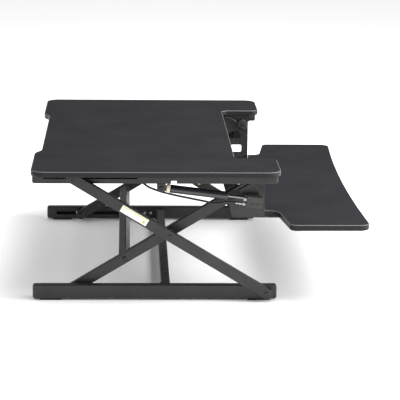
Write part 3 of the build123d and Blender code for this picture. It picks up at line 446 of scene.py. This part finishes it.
def add_floor():
    """Pale studio floor, large enough to fill the picture."""
    mesh = bpy.data.meshes.new("floor")
    level = CAD_LOW.z - FLOOR_GAP
    corners = [(x * FLOOR_REACH, y * FLOOR_REACH, level) for x, y in ((-1, -1), (1, -1), (1, 1), (-1, 1))]
    mesh.from_pydata(corners, [], [(0, 1, 2, 3)])
    floor = bpy.data.objects.new("floor", mesh)
    bpy.context.scene.collection.objects.link(floor)
    material = bpy.data.materials.new("floor")
    material.use_nodes = True
    surface = material.node_tree.nodes["Principled BSDF"]
    surface.inputs["Base Color"].default_value = FLOOR_COLOUR
    surface.inputs["Roughness"].default_value = 0.9
    surface.inputs["Specular IOR Level"].default_value = 0.1
    mesh.materials.append(material)


def add_sky():
    """White behind the desk for the camera, softer white for lighting and dim grey for reflections."""
    world = bpy.data.worlds.new("studio")
    world.use_nodes = True
    tree = world.node_tree
    background = tree.nodes["Background"]
    background.inputs["Color"].default_value = (1.0, 1.0, 1.0, 1)
    ray = tree.nodes.new("ShaderNodeLightPath")
    for_reflections = tree.nodes.new("ShaderNodeMix")
    for_reflections.inputs["A"].default_value = SKY_LIGHT
    for_reflections.inputs["B"].default_value = SKY_REFLECTION
    tree.links.new(ray.outputs["Is Glossy Ray"], for_reflections.inputs["Factor"])
    for_camera = tree.nodes.new("ShaderNodeMix")
    for_camera.inputs["B"].default_value = 1.0
    tree.links.new(for_reflections.outputs["Result"], for_camera.inputs["A"])
    tree.links.new(ray.outputs["Is Camera Ray"], for_camera.inputs["Factor"])
    tree.links.new(for_camera.outputs["Result"], background.inputs["Strength"])
    bpy.context.scene.world = world


def add_studio():
    """Sky, softboxes and floor."""
    add_sky()
    bpy.context.scene.view_settings.view_transform = "Standard"
    centre = (CAD_LOW + CAD_HIGH) / 2
    add_softbox("overhead", centre + OVERHEAD_PLACE, centre, OVERHEAD_SIZE, OVERHEAD_POWER)
    under_tray = Vector((0, CAD_LOW.y * FRONT_AIM, 0))
    add_softbox("front", centre + FRONT_PLACE, under_tray, FRONT_SIZE, FRONT_POWER)
    add_floor()


# ---------------------------------------------------------------- mesh building
def smooth_path(points, steps=8):
    """Points along a Catmull-Rom curve through the given points."""
    points = [Vector(point) for point in points]
    ends = [2 * points[0] - points[1]] + points + [2 * points[-1] - points[-2]]
    path = []
    for before, start, end, after in zip(ends, ends[1:], ends[2:], ends[3:]):
        bend = 2 * before - 5 * start + 4 * end - after
        twist = 3 * start - before - 3 * end + after
        for step in range(steps):
            t = step / steps
            path.append(0.5 * (2 * start + (end - before) * t + bend * t ** 2 + twist * t ** 3))
    return path + [points[-1]]


SHARP_EDGE = math.radians(40)


class Skin:
    """One mesh piece made of several closed skins, each with its own material."""

    def __init__(self, name, *finishes):
        self.name = name
        self.mesh = bpy.data.meshes.new(name)
        for finish in finishes:
            self.mesh.materials.append(finish)
        self.points = []
        self.faces = []
        self.finish_of = []

    def add(self, points, faces, finish):
        """Add one closed skin; finish is the number of its material."""
        start = len(self.points)
        self.points += [tuple(point) for point in points]
        self.faces += [tuple(start + index for index in face) for face in faces]
        self.finish_of += [finish] * len(faces)

    def sweep(self, path, radii, finish=0, sides=20):
        """Closed round skin along a path; radii holds one radius, or one for every point."""
        path = [Vector(point) for point in path]
        if not isinstance(radii, (list, tuple)):
            radii = [radii] * len(path)
        side = (path[1] - path[0]).orthogonal().normalized()
        points = []
        for index, (centre, radius) in enumerate(zip(path, radii)):
            ahead = (path[min(index + 1, len(path) - 1)] - path[max(index - 1, 0)]).normalized()
            side = (side - ahead * side.dot(ahead)).normalized()
            other = ahead.cross(side)
            for step in range(sides):
                angle = 2 * math.pi * step / sides
                points.append(centre + radius * (side * math.cos(angle) + other * math.sin(angle)))
        faces = []
        for ring in range(len(path) - 1):
            for step in range(sides):
                here, ahead_step = ring * sides + step, ring * sides + (step + 1) % sides
                faces.append((here, ahead_step, ahead_step + sides, here + sides))
        faces.append(tuple(reversed(range(sides))))
        faces.append(tuple(range((len(path) - 1) * sides, len(path) * sides)))
        self.add(points, faces, finish)

    def turned(self, start, direction, profile, finish=0, sides=32):
        """Turned piece: profile holds (distance along the axis, radius) pairs."""
        self.sweep([Vector(start) + direction * along for along, _ in profile],
                   [radius for _, radius in profile], finish, sides)

    def slab(self, outline, thickness, lift, finish=0):
        """Plate from an outline of points, thickened along the lift direction."""
        count = len(outline)
        points = outline + [point + lift * thickness for point in outline]
        faces = [tuple(reversed(range(count))), tuple(range(count, 2 * count))]
        for index in range(count):
            following = (index + 1) % count
            faces.append((index, following, following + count, index + count))
        self.add(points, faces, finish)

    def done(self):
        """Make the mesh and put it in the scene."""
        self.mesh.from_pydata(self.points, [], self.faces)
        self.mesh.polygons.foreach_set("material_index", self.finish_of)
        self.mesh.validate()
        self.mesh.shade_smooth()
        self.mesh.set_sharp_from_angle(angle=SHARP_EDGE)
        piece = bpy.data.objects.new(self.name, self.mesh)
        bpy.context.scene.collection.objects.link(piece)
        return piece


def rounded_outline(centre, along, across, length, width, radius, steps=5):
    """Rounded rectangle as a list of points."""
    outline = []
    for number, (a, b) in enumerate(((1, 1), (-1, 1), (-1, -1), (1, -1))):
        corner = centre + along * a * (length / 2 - radius) + across * b * (width / 2 - radius)
        for step in range(steps + 1):
            angle = math.pi / 2 * (number + step / steps)
            outline.append(corner + radius * (along * math.cos(angle) + across * math.sin(angle)))
    return outline


# ---------------------------------------------------------------- springs and their cables
CABLE_RADIUS = 2.5 * MM
CABLE_BELOW_PANEL = 7 * MM
CABLE_BELOW_SPRING = 14.8 * MM
CABLE_INSIDE_SPRING = 3 * MM
CABLE_STEPS = 8                 # points along the cable for each stretch of its path
SAG_START = -61 * MM            # where the cable leaves the panel, in front of the spring's rear pin
SAG_END = 124 * MM
SAG_POINTS = 8
SAG_START_RISE = 26 * MM        # height of that place above the pin
SAG_DROP = 32.5 * MM            # how far the cable falls before it runs straight on
SAG_DROP_LENGTH = 28 * MM
SAG_SLOPE = 0.17                # slope of the straight stretch that follows
SAG_CROSSING = (8 * MM, 140 * MM)   # where the cable comes across from the rail to the release head

# Turned pieces: distances along the axis with the radius at each.
CABLE_FERRULE = ((0, 1.6 * MM), (1 * MM, 2.3 * MM), (6 * MM, 2.3 * MM),
                 (6.5 * MM, 3.4 * MM), (12 * MM, 3.4 * MM), (12.6 * MM, 3.0 * MM))
CABLE_ADJUSTER = ((0, 2.6 * MM), (0.6 * MM, 3.1 * MM), (5 * MM, 3.1 * MM), (5.5 * MM, 2.4 * MM),
                  (7 * MM, 2.4 * MM), (7.2 * MM, 3.4 * MM), (13.5 * MM, 3.4 * MM), (14 * MM, 2.4 * MM),
                  (24 * MM, 2.4 * MM))
ADJUSTER_LENGTH = 22 * MM       # how much of the adjuster stands out of the head
ADJUSTER_NUT = ((0, 4.2 * MM), (0.4 * MM, 4.6 * MM), (3.6 * MM, 4.6 * MM), (4 * MM, 4.2 * MM))
NUT_FROM_HEAD = 5 * MM
COVER_SCREW = ((0, 2.6 * MM), (1.1 * MM, 2.6 * MM), (1.6 * MM, 2.1 * MM), (1.7 * MM, 1.0 * MM))
COVER_SCREW_PLACES = (16 * MM, 28 * MM)
COVER_SCREW_RISE = 5 * MM
COVER_SCREW_SINK = 0.5 * MM

# Rings round the spring's cylinder: distance from its eye, width, height.
CRIMPS = ((24 * MM, 3.4 * MM, 0.5 * MM), (131 * MM, 2.2 * MM, 0.45 * MM), (137 * MM, 2.2 * MM, 0.45 * MM))
GLAND_RING = (149 * MM, 1.8 * MM, 0.4 * MM)
RING_STEPS = 10


def spring_x(side):
    """Sideways place of one spring."""
    low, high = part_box(f"spring_cylinder_{side}")
    return Vector(((low.x + high.x) / 2, 0, 0))


def on_spring(side, along, up=0.0, inward=0.0):
    """A point beside one spring: along it from its eye, above it, and towards the desk's middle."""
    point = SPRING_EYE + SPRING_LINE * along + SPRING_UP * up + spring_x(side)
    return point - Vector((SIDES[side] * inward, 0, 0))


def ring_profile(radius, width, height):
    """Half-round swelling on a cylinder, closed inside it."""
    profile = [(0, radius - MM)]
    for step in range(RING_STEPS + 1):
        angle = math.pi * step / RING_STEPS
        profile.append((width * (1 - math.cos(angle)) / 2, radius + height * math.sin(angle)))
    return profile + [(width, radius - MM)]


def add_spring_rings():
    """Rolled crimps in the cylinder's own paint and a bright ring at its gland."""
    low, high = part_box("spring_cylinder_right")
    radius = (high.x - low.x) / 2
    rings = Skin("spring_cylinder_rings", materials["cylinder_paint"], materials["zinc_steel"])
    for side in SIDES:
        for along, width, height in CRIMPS:
            profile = ring_profile(radius, width, height)
            rings.turned(on_spring(side, along), SPRING_LINE, profile, 0, 48)
        along, width, height = GLAND_RING
        rings.turned(on_spring(side, along), SPRING_LINE, ring_profile(radius, width, height), 1, 48)
    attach(rings.done(), "spring_cylinders")


def head_ferrule_place(side):
    """Where the cable enters the release head, low on its rear face and just inside the spring."""
    rear_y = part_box("release_heads")[1].y
    along = (SPRING_EYE.y - rear_y) / -SPRING_LINE.y
    return on_spring(side, along, -CABLE_BELOW_SPRING, CABLE_INSIDE_SPRING)


def cable_sag(forward):
    """How far the hanging cable is below the spring's rear pin, and how far across it has come."""
    run = forward - SAG_START
    down = SAG_SLOPE * run + SAG_DROP * (1 - math.exp(-run / SAG_DROP_LENGTH)) - SAG_START_RISE
    across = (forward - SAG_CROSSING[0]) / (SAG_CROSSING[1] - SAG_CROSSING[0])
    return down, max(0.0, across) ** 1.6


def path_under_panel(side):
    """The cable's path from the paddle to the rail and back to the hanging stretch."""
    sign = SIDES[side]
    low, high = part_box(f"release_cable_{side}")
    paddle_x = sign * (min(abs(low.x), abs(high.x)) + CABLE_RADIUS)
    rail_x = sign * (max(abs(low.x), abs(high.x)) - CABLE_RADIUS)
    pivot = Vector(JOINTS[f"squeeze_{side}"]["pos_m"])
    level = PANEL_UNDERSIDE - CABLE_BELOW_PANEL
    return smooth_path([
        (paddle_x, pivot.y + 17 * MM, pivot.z + 4 * MM),
        (paddle_x, pivot.y + 36 * MM, level),
        (paddle_x + sign * 4 * MM, pivot.y + 75 * MM, level),
        (rail_x - sign * 8 * MM, pivot.y + 130 * MM, level),
        (rail_x, pivot.y + 170 * MM, level),
        (rail_x, SPRING_EYE.y - 30 * MM, level),
        (rail_x, SPRING_EYE.y + 30 * MM, level),
        (rail_x, SPRING_EYE.y + 75 * MM, level - 2 * MM),
    ])


def hanging_path(start, ferrule):
    """The cable's path from the panel, below the spring, to the release head."""
    points = [start]
    for number in range(SAG_POINTS):
        forward = SAG_START + (SAG_END - SAG_START) * number / (SAG_POINTS - 1)
        down, across = cable_sag(forward)
        x = start.x + (ferrule.x - start.x) * across
        points.append(Vector((x, SPRING_EYE.y - forward, SPRING_EYE.z - down)))
    points.append(ferrule - SPRING_LINE * 40 * MM - SPRING_UP * 0.5 * MM)
    points.append(ferrule - SPRING_LINE * 20 * MM)
    return smooth_path(points, CABLE_STEPS)


def add_cable_run(side):
    """Sheath fixed under the panel, with its ferrule at the paddle."""
    path = path_under_panel(side)
    run = Skin(f"cable_run_{side}", materials["cable_sheath"], materials["black_steel"])
    run.sweep(path, CABLE_RADIUS)
    forward = (path[1] - path[0]).normalized()
    run.turned(path[0] - forward * 6 * MM, forward, CABLE_FERRULE, 1)
    piece = run.done()
    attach(piece, "platform")
    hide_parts(f"release_cable_{side}")
    return path[-1]


def add_hanging_cable(side, start):
    """Loose sheath in two lengths: panel to cylinder, and cylinder to release head."""
    path = hanging_path(start, head_ferrule_place(side))
    middle = CABLE_STEPS * SAG_POINTS // 2
    loop = Skin(f"cable_loop_{side}", materials["cable_sheath"])
    loop.sweep(path[:middle + 1], CABLE_RADIUS)
    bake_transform(loop.done())
    lead = Skin(f"cable_lead_{side}", materials["cable_sheath"])
    lead.sweep(path[middle:], CABLE_RADIUS)
    piece = lead.done()
    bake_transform(piece)
    return piece


def add_cables():
    """Both release cables; one hanging length stands in for the CAD's pair of leads."""
    for side in SIDES:
        end = add_cable_run(side)
        add_hanging_cable(side, end)
    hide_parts("cable_leads")


def add_head_fittings():
    """Cable adjuster with its lock nut, and two cover screws, on each release head."""
    low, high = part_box("release_heads")
    fittings = Skin("release_head_fittings", materials["zinc_steel"], materials["black_steel"])
    for side, sign in SIDES.items():
        place = head_ferrule_place(side)
        fittings.turned(place - SPRING_LINE * ADJUSTER_LENGTH, SPRING_LINE, CABLE_ADJUSTER, 0, 24)
        fittings.turned(place - SPRING_LINE * NUT_FROM_HEAD, SPRING_LINE, ADJUSTER_NUT, 0, 6)
        outer_x = sign * max(abs(low.x), abs(high.x))
        for along in COVER_SCREW_PLACES:
            seat = place + SPRING_LINE * along + SPRING_UP * COVER_SCREW_RISE
            seat.x = outer_x - sign * COVER_SCREW_SINK
            fittings.turned(seat, Vector((sign, 0, 0)), COVER_SCREW, 1, 20)
    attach(fittings.done(), "spring_rods")


# ---------------------------------------------------------------- welds
WELD_STEP = 1.0 * MM
CROSSBAR_WELD_HALF = 10 * MM
CROSSBAR_WELD_SHARE = 0.8       # height of the crossbar's weld as a part of its length
LUG_FROM_PIVOT = 54 * MM
LUG_WELD_HALF = 20 * MM
LUG_WELD_RISE = 3.5 * MM


def weld_bead(skin, start, end, radius=1.7 * MM):
    """Rippled fillet of weld metal along a straight joint, thinner at its two ends."""
    count = max(2, round((end - start).length / WELD_STEP))
    path = [start.lerp(end, number / count) for number in range(count + 1)]
    radii = []
    for number in range(count + 1):
        from_end = min(number, count - number) + 1
        taper = 0.55 + 0.45 * min(1.0, from_end / 3)
        ripple = 1 + 0.16 * math.sin(2.1 * number) + 0.07 * math.sin(0.7 * number)
        radii.append(radius * taper * ripple)
    skin.sweep(path, radii, sides=10)


def add_arm_welds():
    """Welds at the ends of the crossbar and along the spring lugs, on both inner arms."""
    welds = Skin("arm_welds", materials["frame_paint"])
    arm_up = Vector((0, -INNER_ARM_LINE.z, INNER_ARM_LINE.y))
    if arm_up.z < 0:
        arm_up = -arm_up
    arm_low, arm_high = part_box("inner_arm_right")
    bar_low, bar_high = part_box("inner_crossbar")
    bar_centre = (bar_low + bar_high) / 2
    for sign in SIDES.values():
        bar_end = Vector((sign * arm_low.x, bar_centre.y, bar_centre.z))
        reach = arm_up * CROSSBAR_WELD_HALF * CROSSBAR_WELD_SHARE
        for end in (-1, 1):
            middle = bar_end + INNER_ARM_LINE * end * CROSSBAR_WELD_HALF
            weld_bead(welds, middle + reach * end, middle - reach * end)
        lug_root = DESK_PIVOT + INNER_ARM_LINE * LUG_FROM_PIVOT + arm_up * LUG_WELD_RISE
        lug_root.x = sign * arm_high.x
        along = INNER_ARM_LINE * LUG_WELD_HALF
        weld_bead(welds, lug_root - along, lug_root + along, 1.5 * MM)
    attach(welds.done(), "inner_arms")


def add_base_welds():
    """Welds where the cross member meets its end plates."""
    welds = Skin("base_welds", materials["frame_paint"])
    low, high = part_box("base_cross_tube")
    inset = 2.5 * MM
    for x in (low.x, high.x):
        for z in (low.z, high.z):
            weld_bead(welds, Vector((x, low.y + inset, z)), Vector((x, high.y - inset, z)))
        weld_bead(welds, Vector((x, low.y, low.z + inset)), Vector((x, low.y, high.z - inset)))
    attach(welds.done(), "base")


# ---------------------------------------------------------------- label
LABEL_CORNER = 1.5 * MM
LABEL_THICKNESS = 0.22 * MM
PRINT_THICKNESS = 0.08 * MM
PRINT_LIFT = 0.2 * MM
BAND_MARGIN = 4 * MM            # how much shorter than the label its band is
BAND_CORNER = 0.6 * MM
KEY_SIZE = 6.5 * MM
KEY_CORNER = 1.2 * MM


def label_size(low, high, slope):
    """Length and width of a sloping rectangle, from the upright box round it."""
    span_y = high.y - low.y
    span_z = high.z - low.z
    spread = math.cos(2 * slope)
    length = (span_y * math.cos(slope) - span_z * math.sin(slope)) / spread
    width = (span_z * math.cos(slope) - span_y * math.sin(slope)) / spread
    return length, width


def add_label():
    """Blank label on the left arm: white film with a pale yellow band and a small square."""
    low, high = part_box("arm_label")
    length, width = label_size(low, high, math.atan2(OUTER_ARM_LINE.z, OUTER_ARM_LINE.y))
    along = OUTER_ARM_LINE
    arm_up = Vector((0, -along.z, along.y))
    outward = Vector((-1, 0, 0))
    label = Skin("label_sheet", materials["label_film"], materials["label_band"], materials["label_key"])
    middle = Vector((high.x, (low.y + high.y) / 2, (low.z + high.z) / 2))
    film = rounded_outline(middle, along, arm_up, length, width, LABEL_CORNER)
    label.slab(film, LABEL_THICKNESS, outward, 0)
    band_middle = middle + arm_up * (width * 0.34) + outward * PRINT_LIFT
    band = rounded_outline(band_middle, along, arm_up, length - BAND_MARGIN, width * 0.18, BAND_CORNER)
    label.slab(band, PRINT_THICKNESS, outward, 1)
    key_middle = middle - along * (length * 0.38) - arm_up * (width * 0.12) + outward * PRINT_LIFT
    key = rounded_outline(key_middle, along, arm_up, KEY_SIZE, KEY_SIZE, KEY_CORNER)
    label.slab(key, PRINT_THICKNESS, outward, 2)
    sheet = label.done()
    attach(sheet, "outer_arms")
    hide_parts("arm_label")


materials = dress_cad_nodes()
add_spring_rings()
add_cables()
add_head_fittings()
add_arm_welds()
add_base_welds()
add_label()
add_studio()
add_camera()
